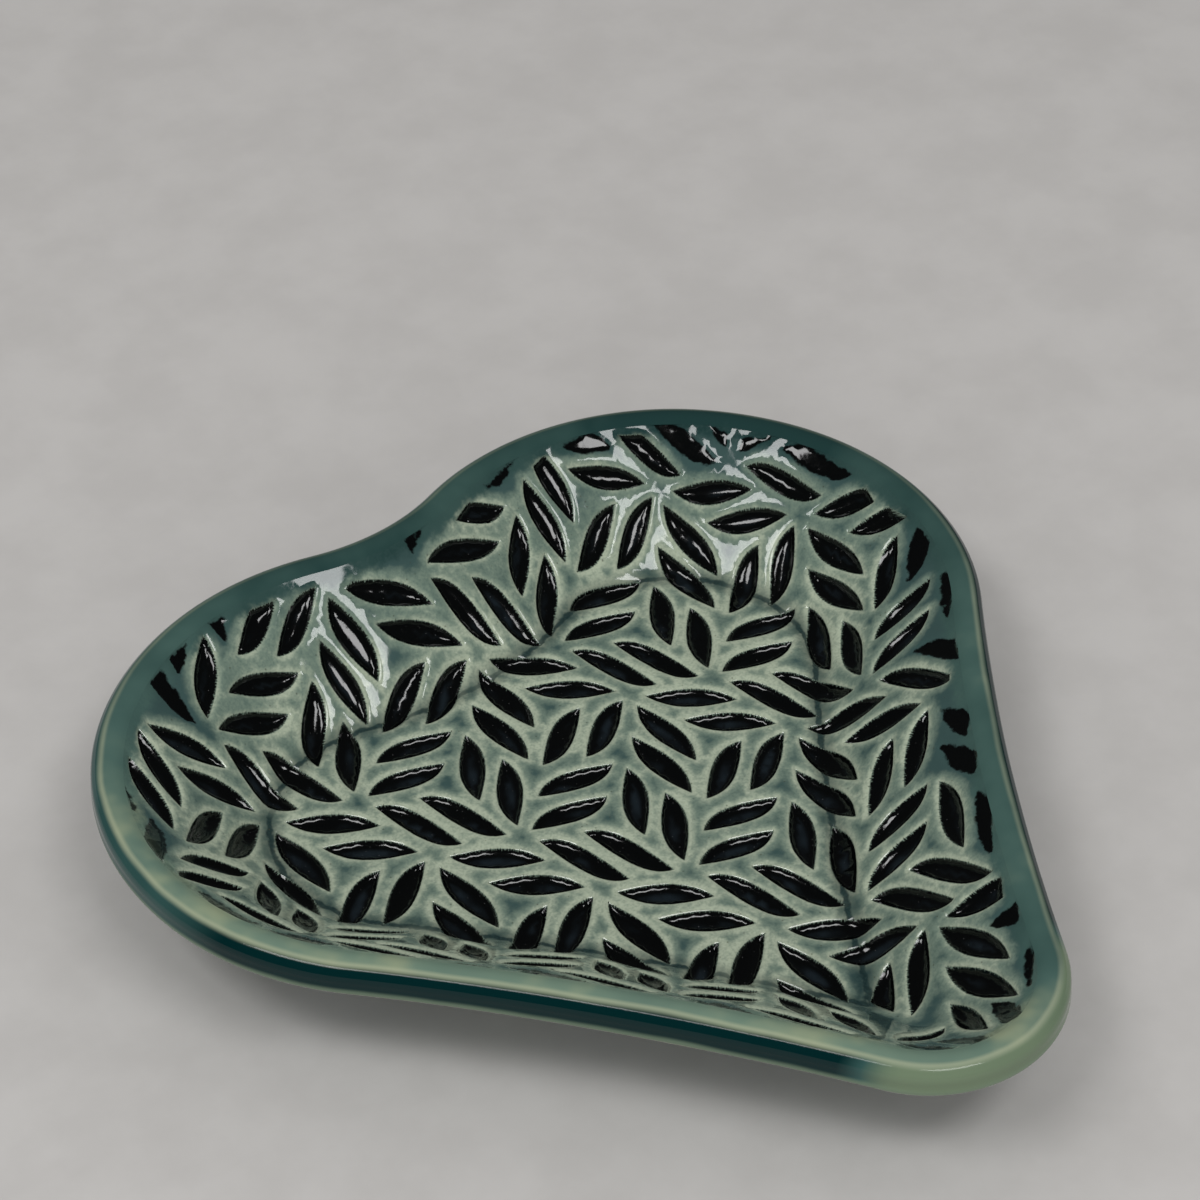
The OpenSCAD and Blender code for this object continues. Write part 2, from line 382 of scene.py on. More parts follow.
# distances are from the edge of a leaf, from the crease or from the edge of a mark
insideLook = {
    "broadNoise": (90, 2),
    "fineNoise": (700, 3, 0.6),
    "grainNoise": (2600, 2),
    "thickFineSway": 1.3,
    "thickBroadSway": 2.2,
    "wallStep": (-1, 12),
    "wallThick": 0.7,
    "sageStep": (0.2, 1.2),
    "tealStep": (1.0, 2.3),
    # the dark crease line below is partly pooled glaze and partly painted shade
    "poolShadeShift": 1.1,
    "poolShadeSkirtStep": (0.3, 2.6, 0.6, 0.0),
    "poolShadeCoreStep": (0.2, 0.9, 0.95, 0.0),
    "poolShadePatchStep": (0.34, 0.54, 0.65, 1.0),
    "bandSway": 2.0,
    "bandStep": (15.2, 16.9),
    "specks": (900, 0.05, 0.16),
    "speckNoise": (420, 2),
    "speckPatchStep": (0.46, 0.6),
    "speckEndStep": (16, 14.5, 0.0, 0.65),
    "grainStep": (0.35, 0.75, 0.0, 0.3),
    "stainSway": 1.2,
    "stainStep": (0.1, -0.2),
    "stainBandStep": (0.0, 0.5, 0.8, 1.0),
    "bumpNoise": (380, 1),
    "bump": (0.0001, 0.5),
    "roughnessStep": (0.2, 0.8, 0.05, 0.1),
    "ior": 1.52,
}


def insideGlazeMaterial():
    made = Nodes("inside_glaze_celadon")
    look, colours = insideLook, glazeColours
    gap, past, mark = (made.attribute(name) for name in ("leafGap", "pastCrease", "markGap"))
    broad, fine = made.noise(*look["broadNoise"]), made.noise(*look["fineNoise"])
    grain = made.noise(*look["grainNoise"])
    bandDepth, band = bandOn(made)
    # the glaze lies thicker and bluer in the wide places between the leaves and up the wall
    thick = made.sway(gap, fine, look["thickFineSway"])
    thick = made.sway(thick, broad, look["thickBroadSway"])
    onWall = made.step(past, *look["wallStep"])
    thick = made.plus(thick, made.times(onWall, made.times(bandDepth, look["wallThick"])))
    colour = made.mix(made.step(thick, *look["sageStep"]), colours["cream"], colours["sage"])
    colour = made.mix(made.step(thick, *look["tealStep"]), colour, colours["teal"])
    # dark along the crease: partly glaze pooled there, partly painted shade in the fold
    fromPoolShade = made.maths("ABSOLUTE", made.plus(past, made.times(fine, look["poolShadeShift"])))
    skirt, core = (made.step(fromPoolShade, *look[name]) for name in ("poolShadeSkirtStep", "poolShadeCoreStep"))
    patches = made.step(broad, *look["poolShadePatchStep"])
    pooledAndShaded = made.times(made.maths("MAXIMUM", skirt, core), patches)
    colour = made.mix(pooledAndShaded, colour, colours["poolAndShade"])
    # towards the rim the glaze is smooth
    edge = made.sway(past, fine, look["bandSway"])
    colour = made.mix(made.step(edge, *look["bandStep"]), colour, band)
    # small dark specks and a fine grain
    patches = made.step(made.noise(*look["speckNoise"]), *look["speckPatchStep"])
    specks = made.times(made.specks(*look["specks"]), patches)
    specks = made.times(specks, made.step(past, *look["speckEndStep"]))
    colour = made.mix(specks, colour, colours["speck"])
    colour = made.mix(made.step(grain, *look["grainStep"]), colour, colours["teal"])
    # leaves that only touched left a dent with black slip, fading in the thin band
    stain = made.step(made.sway(mark, fine, look["stainSway"]), *look["stainStep"])
    stain = made.times(stain, made.step(bandDepth, *look["stainBandStep"]))
    colour = made.mix(stain, colour, colours["slip"])
    return made.finish(
        Base_Color=made.mix(slipShare(made, gap), colour, colours["slip"]),
        Roughness=made.step(grain, *look["roughnessStep"]),
        Normal=made.bump(made.noise(*look["bumpNoise"]), *look["bump"]),
        IOR=look["ior"])


# distances are past the upper corner of the edge, less than zero on the way up to it
outsideLook = {
    "broadNoise": (55, 2),
    "fineNoise": (420, 3),
    "acrossSway": 0.8,
    "depthSway": 0.3,
    "upperBreakStep": (-1.7, -1.1),
    "thinBreakStep": (0.1, 0.95, 0.6, 0.15),
    "faceStep": (-1.2, -0.3),
    "underRimStep": (2.2, 3.0, 0.0, 0.75),
    "lowerBreakStep": (3.2, 3.6, 0.0, 0.8),
    "slopeStep": (3.8, 5.0),
    "dripNoise": (130, 3),
    "dripStep": (0.42, 0.66, 0.0, 0.6),
    "dripReachStep": (7, 15),
    "bump": (0.00004, 0.5),
    "roughnessStep": (0.2, 0.8, 0.06, 0.12),
    "ior": 1.45,
    "specularLevel": 0.3,
}


def outsideGlazeMaterial():
    made = Nodes("outside_glaze_teal")
    look, colours = outsideLook, glazeColours
    broad, fine = made.noise(*look["broadNoise"]), made.noise(*look["fineNoise"])
    bandDepth, band = bandOn(made)
    across = made.sway(made.attribute("rimAcross"), broad, look["acrossSway"])
    rimDepth = made.sway(made.attribute("rimDepth"), broad, look["depthSway"])
    # the glaze breaks pale over the two corners of the edge and pools dark on its face
    upperBreak = made.times(
        made.step(across, *look["upperBreakStep"]), made.step(bandDepth, *look["thinBreakStep"]))
    drips = made.times(
        made.step(made.noise(*look["dripNoise"]), *look["dripStep"]),
        made.step(across, *look["dripReachStep"]))
    colour = band
    for share, layer in (
        (upperBreak, colours["break"]),
        (made.step(across, *look["faceStep"]), made.ramp(rimDepth, colours["rimFace"])),
        (made.step(across, *look["underRimStep"]), colours["underRim"]),
        (made.step(across, *look["lowerBreakStep"]), colours["break"]),
        (made.step(across, *look["slopeStep"]), colours["outside"]),
        (drips, colours["underRim"]),
    ):
        colour = made.mix(share, colour, layer)
    return made.finish(
        Base_Color=colour,
        Roughness=made.step(fine, *look["roughnessStep"]),
        Normal=made.bump(fine, *look["bump"]),
        IOR=look["ior"], Specular_IOR_Level=look["specularLevel"])


# distances are from the edge of a leaf, less than zero inside it
slipLook = {
    "fineNoise": (900, 3, 0.6),
    "grainNoise": (3200, 2),
    "deepStep": (-0.8, -1.6),
    "blueNoise": (160, 1),
    "bluePatchStep": (0.42, 0.62),
    "specks": (1700, 0.03, 0.12),
    "speckNoise": (1300, 2),
    "speckPatchStep": (0.5, 0.6),
    "speckShare": 0.6,
    "grainShare": 0.5,
    "bump": (0.00002, 0.6),
    "roughnessStep": (0.3, 0.7, 0.05, 0.12),
    "ior": 1.52,
}


def blackSlipMaterial():
    made = Nodes("black_slip_gloss")
    look, colours = slipLook, glazeColours
    gap = made.attribute("leafGap")
    fine, grain = made.noise(*look["fineNoise"]), made.noise(*look["grainNoise"])
    # a bluish centre deep in some leaves, partly pooled glaze and partly a painted sheen
    patches = made.step(made.noise(*look["blueNoise"]), *look["bluePatchStep"])
    deepPoolAndSheen = made.times(made.step(gap, *look["deepStep"]), patches)
    colour = made.mix(deepPoolAndSheen, colours["slip"], colours["slipPoolAndSheen"])
    patches = made.step(made.noise(*look["speckNoise"]), *look["speckPatchStep"])
    specks = made.times(made.specks(*look["specks"]), patches)
    colour = made.mix(made.times(specks, look["speckShare"]), colour, colours["dust"])
    relief = made.plus(fine, made.times(grain, look["grainShare"]))
    return made.finish(
        Base_Color=made.mix(slipShare(made, gap), colours["sage"], colour),
        Roughness=made.step(fine, *look["roughnessStep"]),
        Normal=made.bump(relief, *look["bump"]),
        IOR=look["ior"])


clayLook = {
    "dark": (0.36, 0.31, 0.24),
    "light": (0.46, 0.41, 0.33),
    "iron": (0.09, 0.06, 0.04),
    "broadNoise": (120, 3),
    "fineNoise": (1400, 4, 0.7),
    "patchStep": (0.3, 0.7),
    "specks": (520, 0.06, 0.16),
    "speckShare": 0.55,
    "speckRelief": -0.3,
    "glazeLineStep": (0.0022, 0.0026),  # metres above the table
    "bump": (0.0003, 0.8),
    "roughnessStep": (0.2, 0.8, 0.7, 0.95),
}


def bareClayMaterial():
    made = Nodes("bare_clay_stoneware")
    look = clayLook
    broad, fine = made.noise(*look["broadNoise"]), made.noise(*look["fineNoise"])
    colour = made.mix(made.step(broad, *look["patchStep"]), look["dark"], look["light"])
    specks = made.specks(*look["specks"])
    colour = made.mix(made.times(specks, look["speckShare"]), colour, look["iron"])
    # above the glaze line it is hidden under the glaze, and black with slip in the pressed leaves
    hidden = made.step(made.height(), *look["glazeLineStep"])
    relief = made.plus(fine, made.times(specks, look["speckRelief"]))
    return made.finish(
        Base_Color=made.mix(hidden, colour, glazeColours["slip"]),
        Roughness=made.step(fine, *look["roughnessStep"]),
        Normal=made.bump(relief, *look["bump"]))


clayMaterial = bareClayMaterial()
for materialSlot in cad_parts["clay_body"].material_slots:
    materialSlot.material = clayMaterial
print("clay material made")

# the glaze over the rim and the outside, swept along the four arcs of the right half
outsideGlaze = {
    # radius and turn in degrees over the top, round the upper and round the lower corner
    "overTop": (3, 65.4),
    "upperCorner": (1.4, 51.3),
    "lowerCorner": (1.2, 63.3),
    "turnStep": 7,
    "faceSteps": 4,
    "crown": 0.2,
    "slopeSteps": 10,
    "lineHeight": 2,
    "arcSteps": (20, 30, 74, 9),
    "weld": 0.01,
}

# it meets the inside glaze where the slope ends
seamInset = rimRadius * (1 + math.sin(wallAngle))


def rimSection(bm):
    # the section at the very point of the heart: over the top, round the two corners of the
    # slab's edge and down the outside to the glaze line
    across = bm.verts.layers.float.new("rimAcross")
    upSlope = Vector((0, -math.cos(wallAngle), math.sin(wallAngle)))
    square = Vector((0, math.sin(wallAngle), math.cos(wallAngle)))
    line = [bm.verts.new(Vector((0, rimLow.y + rimRadius, rimHeight)) + square * rimRadius)]

    def runOn(way=(0, 0, 0)):
        line.extend(bmesh.ops.extrude_vert_indiv(bm, verts=line[-1:])["verts"])
        bmesh.ops.translate(bm, vec=way, verts=line[-1:])
        return line[-1]

    def goRound(radius, degrees, heading):
        # gives the heading past the corner and the number of the place in its middle
        facing = square * math.cos(heading) + upSlope * math.sin(heading)
        centre = line[-1].co - facing * radius
        steps = round(degrees / outsideGlaze["turnStep"])
        roll = Matrix.Rotation(math.radians(degrees) / steps, 3, "X")
        for _ in range(steps):
            bmesh.ops.rotate(bm, cent=centre, matrix=roll, verts=[runOn()])
        return heading + math.radians(degrees), len(line) - 1 - steps // 2

    heading = goRound(*outsideGlaze["overTop"], 0)[0]
    heading, upper = goRound(*outsideGlaze["upperCorner"], heading)
    # the face is as long as the wall's thickness leaves it, and slightly crowned
    done = (line[-1].co - line[0].co).dot(-square)
    radius, steps = outsideGlaze["lowerCorner"][0], outsideGlaze["faceSteps"]
    face = (dish["wall"] - done - radius * (1 + math.cos(heading))) / math.sin(heading)
    ahead = upSlope * math.cos(heading) - square * math.sin(heading)
    for _ in range(steps):
        runOn(ahead * face / steps)
    goRound(*outsideGlaze["lowerCorner"], heading)
    outward = square * math.cos(heading) + upSlope * math.sin(heading)
    for vert in line:
        along = (vert.co - line[upper].co).dot(ahead) / face
        if 0 < along < 1:
            vert.co += outward * outsideGlaze["crown"] * math.sin(math.pi * along)
    drop = (line[-1].co.z - outsideGlaze["lineHeight"]) / outsideGlaze["slopeSteps"]
    for _ in range(outsideGlaze["slopeSteps"]):
        runOn((0, drop / wallSteep, -drop))

    lengths = [0]
    for before, after in zip(line, line[1:]):
        lengths.append(lengths[-1] + (after.co - before.co).length)
    for vert, length in zip(line, lengths):
        vert[across] = length - lengths[upper]
    return across


def sweepRound(bm):
    line, weld = bm.verts[:] + bm.edges[:], outsideGlaze["weld"]
    arcs = (
        (pointCentre, pointEnd + math.pi / 2),
        (sideCentre, lobeStart - pointEnd),
        (lobeCentre, lobeEnd - lobeStart),
        (cleftCentre, math.pi / 2 - lobeEnd),
    )
    for (centre, angle), steps in zip(arcs, outsideGlaze["arcSteps"]):
        swept = bmesh.ops.spin(
            bm, geom=line, cent=(centre.x, centre.y, 0), axis=(0, 0, 1), angle=angle, steps=steps)
        line = swept["geom_last"]
    for vert in bm.verts:
        if abs(vert.co.x) < weld:
            vert.co.x = 0
    half = bm.verts[:] + bm.edges[:] + bm.faces[:]
    bmesh.ops.mirror(bm, geom=half, matrix=Matrix(), merge_dist=weld, axis="X")
    bmesh.ops.remove_doubles(bm, verts=bm.verts[:], dist=weld)
    bmesh.ops.recalc_face_normals(bm, faces=bm.faces[:])
    bm.normal_update()
    top = max(bm.faces, key=lambda face: face.calc_center_median().z)
    if top.normal.z < 0:
        bmesh.ops.reverse_faces(bm, faces=bm.faces[:])
        bm.normal_update()


def innerEdge(bm, across):
    # the places round the inner edge of the sweep, anticlockwise from the point of the heart
    innermost = min(vert[across] for vert in bm.verts) + 1e-5
    start = min((vert for vert in bm.verts if vert[across] < innermost), key=lambda vert: vert.co.y)
    loop, here, before = [], start, None
    while here is not start or before is None:
        loop.append(here.co.xy)
        ahead = [edge.other_vert(here) for edge in here.link_edges if edge.is_boundary]
        if before is None:
            ahead = [vert for vert in ahead if vert.co.x > 0]
        before, here = here, next(vert for vert in ahead if vert is not before)
    return loop


bm = bmesh.new()
across = rimSection(bm)
sweepRound(bm)
seamLoop = innerEdge(bm, across)
print("seam has", len(seamLoop), "places")
bandLayer, rimLayer = (bm.verts.layers.float.new(key) for key in ("bandDepth", "rimDepth"))
for vert in bm.verts:
    vert[bandLayer] = bandDepthAt(spotOf(vert.co.xy).out)
    vert[rimLayer] = rimDepthAt(vert.co)
    vert.co += vert.normal * unevenAt(vert.co)
bmesh.ops.solidify(bm, geom=bm.faces[:], thickness=dish["glaze"])
addPiece("outsideGlaze", bm, outsideGlazeMaterial(), "outside_glaze", "outside_glaze")

# one repeat of the pressed texture holds six pairs of leaves
texture = {
    "start": (-4.2, 14.0),
    "repeatA": (23, -56.7),  # length and direction
    "repeatB": (38, -136.5),
    "repeats": (8, 6),  # on each side of the start
    "leafLength": 12.9,
    "leafWidth": 3.8,
    "pairStep": 6.5,
    # place as shares of the repeats, direction, direction of the step, length, step, belly shift
    "pairs": [
        (0, 0, -8, -137, 0.92, 0.98, -0.13),
        (1 / 2, 0, 60, -83, 1.01, 1.08, -0.1),
        (0, 2 / 3, 25.5, -25, 0.96, 0.94, 0.13),
        (1 / 2, 2 / 3, -94.5, -137, 1.05, 0.98, 0.08),
        (3 / 4, 5 / 12, -43.5, -83, 0.98, 1.1, 0.07),
        (1 / 4, 1 / 4, -70.5, -24, 1.06, 0.94, -0.18),
    ],
    "smoothBand": 5.2,
    "turn": 8,  # degrees that the texture turns round the point
    "turnReach": 26,
    "turnPivot": 11,  # from the point of the floor
    "turnMiddle": 3,
    "tightBend": 3,
    "seamGap": 0.5,
    "pocketDepth": 1.4,
    "leafSteps": 44,
    "tipForm": 0.9,
    "cutSpacing": 0.6,
    "cutWeld": 1e-5,
    "wobble": 0.05,
    "wobbleRate": (9, 5),  # along and across the leaf
    "ragged": 1.3,
    "markReach": 4,
    "markPast": 0.9,
    "scrapArea": 1.5,
    "scrapPlaces": 8,
}
textureReach = (dish["creaseInset"] - texture["smoothBand"]) / math.cos(wallAngle)
turnPivot = Vector((0, rimLow.y + dish["creaseInset"] + texture["turnPivot"]))
turnMiddle = pointCentre - Vector((0, texture["turnMiddle"]))
mitre = texture["pocketDepth"] * math.tan(wallAngle / 2)


def leafSpots():
    # whether a leaf is pressed in or only touched, and its middle, direction, length and belly
    # shift on the flat slab
    (lengthA, angleA), (lengthB, angleB) = texture["repeatA"], texture["repeatB"]
    rangeA, rangeB = (range(-count, count + 1) for count in texture["repeats"])
    for i, j, pair, half in product(rangeA, rangeB, texture["pairs"], (-0.5, 0.5)):
        shareA, shareB, direction, stepDirection, long, step, shift = pair
        even = Vector(texture["start"]) + stepAt(angleA) * lengthA * (i + shareA)
        even += stepAt(angleB) * lengthB * (j + shareB)
        even += stepAt(stepDirection) * texture["pairStep"] * step * half
        fade = 2 - 2 * (even - turnMiddle).length / texture["turnReach"]
        turn = texture["turn"] * clamp(fade)
        middle = turnPivot + Matrix.Rotation(math.radians(turn), 2) @ (even - turnPivot)
        spot = spotOf(middle)
        if spot.bentAway > texture["tightBend"] and spot.past < textureReach + texture["markReach"]:
            pressed = spot.past < textureReach - texture["leafWidth"] / 2
            yield pressed, middle, direction + turn, texture["leafLength"] * long, shift


def drawnLeaf(spot, middle, direction, length, shift):
    # a circle drawn out to two points, its bellies pushed apart, with x past the crease on the
    # flat slab and y along it
    side, ahead = leftOf(spot.out), stepAt(direction)
    across = leftOf(ahead)
    rateX, rateY = texture["wobbleRate"]
    leaf = bmesh.new()
    bmesh.ops.create_circle(leaf, cap_ends=True, segments=texture["leafSteps"], radius=1)
    for vert in leaf.verts:
        x = vert.co.x / 2
        y = math.copysign(max(math.cos(math.pi * x), 0) ** texture["tipForm"] / 2, vert.co.y)
        rough = noise.noise(Vector((middle.x + rateX * x, middle.y + rateY * y, 0)))
        arm = ahead * (x + 2 * y * shift) * length
        arm += across * (y * texture["leafWidth"] + rough * texture["wobble"])
        vert.co = (spot.past + arm.dot(spot.out), arm.dot(side) * spot.bentAway / spot.away, 0)
    return leaf


def leafLoop(pressed, middle, direction, length, shift):
    # where on the dish a leaf lies and its outline on the plan, bent up with the wall and cut off
    # at the smooth band and at the seam, or None if that leaves only a scrap
    spot = spotOf(middle)
    leaf = drawnLeaf(spot, middle, direction, length, shift)

    def cut(place, way):
        leaf.normal_update()
        bmesh.ops.bisect_plane(
            leaf, geom=leaf.verts[:] + leaf.edges[:] + leaf.faces[:], dist=texture["cutWeld"],
            plane_co=place, plane_no=way, clear_outer=True)

    # at the smooth band the leaf ends ragged
    ragged = noise.noise_vector(Vector((middle.x, middle.y, 0)))
    if pressed:
        cut((textureReach, 0, 0), (1, 0, 0))
        cut((textureReach - abs(ragged.x) * texture["ragged"], 0, 0), (1, ragged.y, 0))
    else:
        cut((textureReach + texture["markPast"], 0, 0), (1, ragged.y, 0))
    along = [vert.co.x for vert in leaf.verts]
    if not along:
        leaf.free()
        return None
    base, side = middle - spot.out * spot.past, leftOf(spot.out)
    for vert in leaf.verts:
        reach = vert.co.x * (math.cos(wallAngle) if vert.co.x > 0 else 1)
        plan = base + spot.out * reach + side * vert.co.y
        vert.co = (plan.x, plan.y, 0)
    # near the point it stays on its own side of the seam
    if pointCentre.y < middle.y < turnPivot.y:
        own = -1 if middle.x < 0 else 1
        cut((own * texture["seamGap"], 0, 0), (-own, 0, 0))
    # the cuts get as many places as the rest of the outline
    long = [edge for edge in leaf.edges if edge.calc_length() > 2 * texture["cutSpacing"]]
    if long:
        cuts = int(max(edge.calc_length() for edge in long) / texture["cutSpacing"])
        bmesh.ops.subdivide_edges(leaf, edges=long, cuts=cuts)
    outline = max(leaf.faces, key=lambda face: face.calc_area())
    loop, area = [vert.co.xy for vert in outline.verts], outline.calc_area()
    leaf.free()
    if area < texture["scrapArea"] or len(loop) <= texture["scrapPlaces"]:
        return None
    if not pressed:
        return "mark", loop
    if max(along) < mitre:
        return "floor", loop
    return ("wall" if min(along) > -mitre else "crease"), loop


found = [leaf for leaf in (leafLoop(*spot) for spot in leafSpots()) if leaf]
leaves = [(where, loop) for where, loop in found if where != "mark"]
leafLoops = [loop for where, loop in leaves]
marks = [loop for where, loop in found if where == "mark"]
print(len(leaves), "leaves and", len(marks), "marks of leaves that only touched")

# the pressed slab is one net of triangles over the plan, finer round the leaves
slab = {
    # rings of places outside and inside the edge of a leaf
    "outerRings": (0.18, 0.42, 0.75),
    "innerRings": (0.17, 0.36, 0.56, 0.78, 1.15),
    "sparseFrom": 0.5,  # rings this far out have every second place
    "ringShare": 0.88,  # of its distance that a place keeps from other leaves
    "ringMargin": 0.25,  # from the seam with the outside glaze
    "spacing": 0.85,
    "rowShare": 0.87,  # of the spacing between the rows
    "gridMargin": 0.45,
    "gridOutside": 0.4,  # past the last ring
    "gridInside": 0.3,
    # depth of the surface at distances from the edge of a leaf, those inside it as less than zero
    "profile": (
        (-1.9, 1.15), (-1.3, 1.09), (-0.85, 0.99), (-0.58, 0.87), (-0.36, 0.69), (-0.17, 0.46),
        (0, 0.26), (0.18, 0.13), (0.42, 0.04), (0.75, 0),
    ),
    "markDepth": 0.28,
    "markRound": 0.3,
    "markRings": (0.35, 0, -0.3, -0.75),
    "markShare": 0.8,
    "markMargin": 0.3,
    "under": 1.38,
    "edgeStep": 0.1,
    "runStart": 31.7,  # keeps the streaks of one leaf from those of the next
    "tolerance": 1e-5,
    "insideOnly": 1,  # the kind of net that keeps only the triangles inside the outer loop
}


def loopNormals(loop):
    # the outward way at each place of an anticlockwise loop, the length up to it and in all
    count = len(loop)
    normals, runs, length = [], [], 0
    for i in range(count):
        ahead = (loop[(i + 1) % count] - loop[i - 1]).normalized()
        normals.append(-leftOf(ahead))
        runs.append(length)
        length += (loop[(i + 1) % count] - loop[i]).length
    return normals, runs, length


def holds(loop, place):
    # whether a place lies inside a loop
    inside = False
    for here, then in zip(loop, loop[1:] + loop[:1]):
        if (here.y > place.y) != (then.y > place.y):
            crossing = here.x + (place.y - here.y) / (then.y - here.y) * (then.x - here.x)
            inside = inside != (place.x < crossing)
    return inside


Edge = namedtuple("Edge", "place way run loop")


class EdgeFinder:
    # finds the nearest edge of a set of loops, after turning them all anticlockwise
    def __init__(self, loops):
        self.edges = []
        for number, loop in enumerate(loops):
            if sum(loop[i - 1].cross(loop[i]) for i in range(len(loop))) < 0:
                loop.reverse()
            normals, runs, length = loopNormals(loop)
            for i, here in enumerate(loop):
                after = (i + 1) % len(loop)
                long = (loop[after] - here).length
                parts = max(1, int(long / slab["edgeStep"]))
                for part in range(parts):
                    share = part / parts
                    run = runs[i] + long * share
                    run = number * slab["runStart"] + min(run, length - run)
                    place = here.lerp(loop[after], share)
                    way = normals[i].lerp(normals[after], share)
                    self.edges.append(Edge(place, way, run, loop))
        self.tree = kdtree.KDTree(len(self.edges))
        for number, edge in enumerate(self.edges):
            self.tree.insert((edge.place.x, edge.place.y, 0), number)
        self.tree.balance()

    def gapAt(self, place):
        # distance from the nearest edge, less than zero inside its loop, and the run along it
        _, number, distance = self.tree.find((place.x, place.y, 0))
        edge = self.edges[number]
        inside = (place - edge.place).dot(edge.way) < 0 and holds(edge.loop, place)
        return (-distance if inside else distance), edge.run


leafFinder = EdgeFinder(leafLoops)
markFinder = EdgeFinder(marks)


def slabPoints():
    # the places of the net, and the loops that none of its triangles cross
    points, loops = [], []
    for loop in [seamLoop] + leafLoops:
        loops.append(list(range(len(points), len(points) + len(loop))))
        points.extend(loop)
    seamPast = dish["creaseInset"] - seamInset
    lastOutside, lastInside = slab["outerRings"][-1], -slab["innerRings"][-1]

    # rings of places round the leaves
    rings = slab["outerRings"] + tuple(-ring for ring in slab["innerRings"])
    for loop in leafLoops:
        places = list(zip(loop, loopNormals(loop)[0]))
        for ring in rings:
            every = 2 if abs(ring) > slab["sparseFrom"] else 1
            for here, normal in places[::every]:
                there = here + normal * ring
                clear = abs(leafFinder.gapAt(there)[0]) >= slab["ringShare"] * abs(ring)
                if clear and spotOf(there).past <= seamPast - slab["ringMargin"]:
                    points.append(there)

    # a grid of places over the rest
    spacing = slab["spacing"]
    rows = int(rimHigh.y * 2 / spacing) + 2
    for row, column in product(range(rows), range(rows)):
        there = Vector((
            rimLow.x + spacing * (column + 0.5 * (row % 2)),
            rimLow.y + spacing * slab["rowShare"] * row))
        if spotOf(there).past > seamPast - slab["gridMargin"]:
            continue
        gap = leafFinder.gapAt(there)[0]
        if gap > lastOutside + slab["gridOutside"] or gap < lastInside - slab["gridInside"]:
            points.append(there)

    # rings of places round the marks, clear of the leaves
    for loop in marks:
        for (here, normal), ring in product(zip(loop, loopNormals(loop)[0]), slab["markRings"]):
            there = here + normal * ring
            if (leafFinder.gapAt(there)[0] > lastOutside
                    and abs(markFinder.gapAt(there)[0]) > slab["markShare"] * abs(ring)
                    and spotOf(there).past < seamPast - slab["markMargin"]):
                points.append(there)
    return points, loops


points, loops = slabPoints()
netVerts, _, netFaces, _, _, faceOwners = geometry.delaunay_2d_cdt(
    points, [], loops, slab["insideOnly"], slab["tolerance"], True)
print("net of", len(netVerts), "places and", len(netFaces), "triangles")


def depthAt(gap):
    for (near, low), (far, high) in zip(slab["profile"], slab["profile"][1:]):
        if gap <= far:
            return low + (high - low) * max(gap - near, 0) / (far - near)
    return 0


def pressedPiece(name, owns, under, material, slot, node):
    # the triangles that belong to a piece, given their thickness and laid on the dish
    bm = bmesh.new()
    gapLayer, runLayer, pastLayer, markLayer, bandLayer = (
        bm.verts.layers.float.new(key)
        for key in ("leafGap", "leafRun", "pastCrease", "markGap", "bandDepth"))
    used = {}
    for face, owners in zip(netFaces, faceOwners):
        if not owners or not owns(max(owners)):
            continue
        for number in face:
            if number not in used:
                plan = netVerts[number]
                vert = used[number] = bm.verts.new((plan.x, plan.y, 0))
                vert[gapLayer], vert[runLayer] = leafFinder.gapAt(plan)
                vert[markLayer] = markFinder.gapAt(plan)[0]
                vert[pastLayer] = spotOf(plan).past
                vert[bandLayer] = bandDepthAt(softSpot(plan)[0])
        bm.faces.new([used[number] for number in face])
    risen = bmesh.ops.extrude_face_region(bm, geom=bm.faces[:])
    topVerts = {vert for vert in risen["geom"] if isinstance(vert, bmesh.types.BMVert)}
    for vert in bm.verts:
        dent = slab["markDepth"] * between(vert[markLayer], slab["markRound"], -slab["markRound"])
        depth = max(depthAt(vert[gapLayer]), dent) if vert in topVerts else under
        vert.co = onSlab(vert.co.xy, depth)
    bmesh.ops.recalc_face_normals(bm, faces=bm.faces[:])
    addPiece(name, bm, material, slot, node)


pressedPiece(
    "insideGlaze", lambda owner: owner == 0, dish["glaze"],
    insideGlazeMaterial(), "inside_glaze", "inside_glaze")
slipMaterial = blackSlipMaterial()
for where in ("floor", "crease", "wall"):
    pressedPiece(
        where + "LeafSlip", lambda owner: owner > 0 and leaves[owner - 1][0] == where,
        slab["under"], slipMaterial, "black_slip", where + "_leaf_slip")

# floor, lights and camera, in metres
studio = {
    "floorHalf": 3,
    "floorColour": (0.52, 0.505, 0.49),
    "floorMottle": (0.42, 0.405, 0.39),
    "mottleNoise": (60, 4, 0.6),
    "mottleStep": (0.3, 0.7, 0.0, 0.4),
    "floorBump": (0.0002, 0.2),
    "floorRoughness": 0.85,
    # way to each softbox, its distance, width, height and power
    "softboxes": {
        "leftSoftbox": ((-0.53, -0.01, 0.85), 1.0, 0.44, 0.22, 2.5),
        "frontSoftbox": ((-0.05, -0.49, 0.87), 1.0, 0.44, 0.22, 2.5),
        "lowFill": ((-0.56, -0.66, 0.3), 1.2, 0.9, 0.5, 3.2),
    },
    "unmirrored": "lowFill",
    "roomLight": 0.5,
    "roomReflection": 0.03,
    "lens": 102.6,
    "sensorWidth": 36,
    "cameraPlace": (-0.21498, -0.23956, 0.32550),
    "cameraAhead": (0.48964, 0.57588, -0.65468),
    "cameraRight": (0.76185, -0.64776, 0),
}

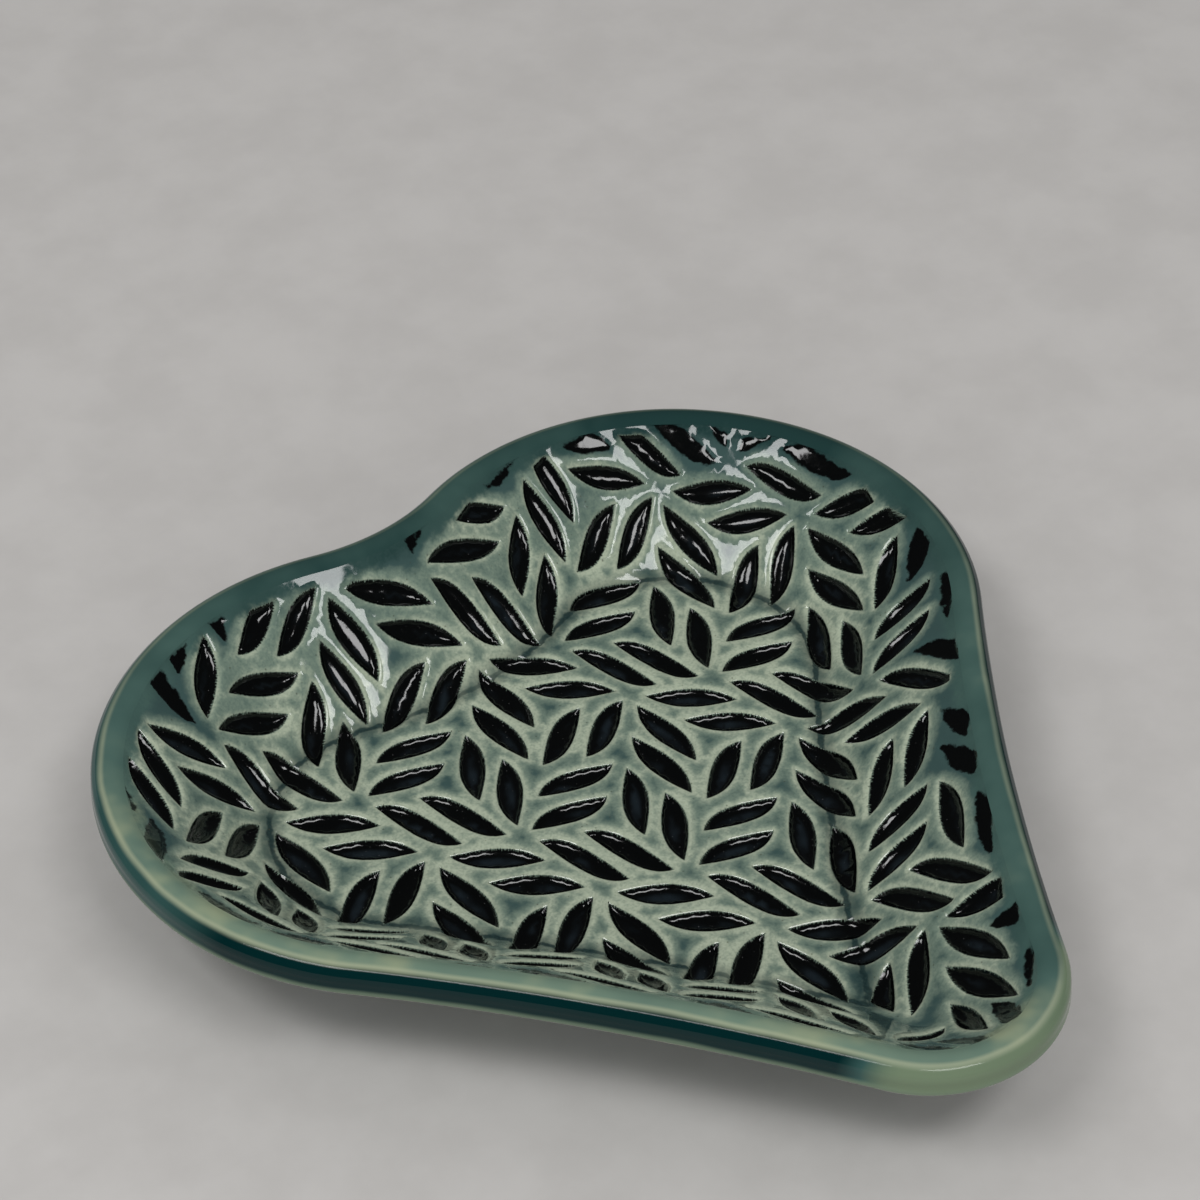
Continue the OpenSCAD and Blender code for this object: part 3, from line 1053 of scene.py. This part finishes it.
floorBm = bmesh.new()
bmesh.ops.create_grid(floorBm, x_segments=1, y_segments=1, size=studio["floorHalf"])
floorMesh = bpy.data.meshes.new("studioFloor")
floorBm.to_mesh(floorMesh)
floorBm.free()
studioFloor = bpy.data.objects.new("studioFloor", floorMesh)
bpy.context.collection.objects.link(studioFloor)
made = Nodes("studio_floor_plain")
mottle = made.noise(*studio["mottleNoise"])
mottled = made.step(mottle, *studio["mottleStep"])
floorMesh.materials.append(made.finish(
    Base_Color=made.mix(mottled, studio["floorColour"], studio["floorMottle"]),
    Roughness=studio["floorRoughness"],
    Normal=made.bump(mottle, *studio["floorBump"])))

for name, (way, distance, width, height, power) in studio["softboxes"].items():
    lampData = bpy.data.lights.new(name, "AREA")
    lampData.shape = "RECTANGLE"
    lampData.size, lampData.size_y = width, height
    lampData.energy = power
    lamp = bpy.data.objects.new(name, lampData)
    lamp.location = Vector(way).normalized() * distance
    lamp.rotation_euler = Vector(way).to_track_quat("Z", "Y").to_euler()
    lamp.visible_glossy = name != studio["unmirrored"]
    bpy.context.collection.objects.link(lamp)

# the room is white, and dimmer in the reflections on the glaze
world = bpy.data.worlds.new("studioWorld")
world.use_nodes = True
room = world.node_tree.nodes["Background"].inputs
room["Color"].default_value = (1, 1, 1, 1)
rays = world.node_tree.nodes.new("ShaderNodeLightPath")
dimmed = world.node_tree.nodes.new("ShaderNodeMapRange")
dimmed.inputs["To Min"].default_value = studio["roomLight"]
dimmed.inputs["To Max"].default_value = studio["roomReflection"]
world.node_tree.links.new(rays.outputs["Is Glossy Ray"], dimmed.inputs["Value"])
world.node_tree.links.new(dimmed.outputs["Result"], room["Strength"])
bpy.context.scene.world = world

cameraData = bpy.data.cameras.new("photoCamera")
cameraData.lens, cameraData.sensor_width = studio["lens"], studio["sensorWidth"]
camera = bpy.data.objects.new("photoCamera", cameraData)
right, back = Vector(studio["cameraRight"]), -Vector(studio["cameraAhead"])
turn = Matrix((right, back.cross(right), back)).transposed().to_4x4()
camera.matrix_world = Matrix.Translation(Vector(studio["cameraPlace"])) @ turn
bpy.context.collection.objects.link(camera)
bpy.context.scene.camera = camera
bpy.context.scene.view_settings.view_transform = "Standard"
print("studio ready")
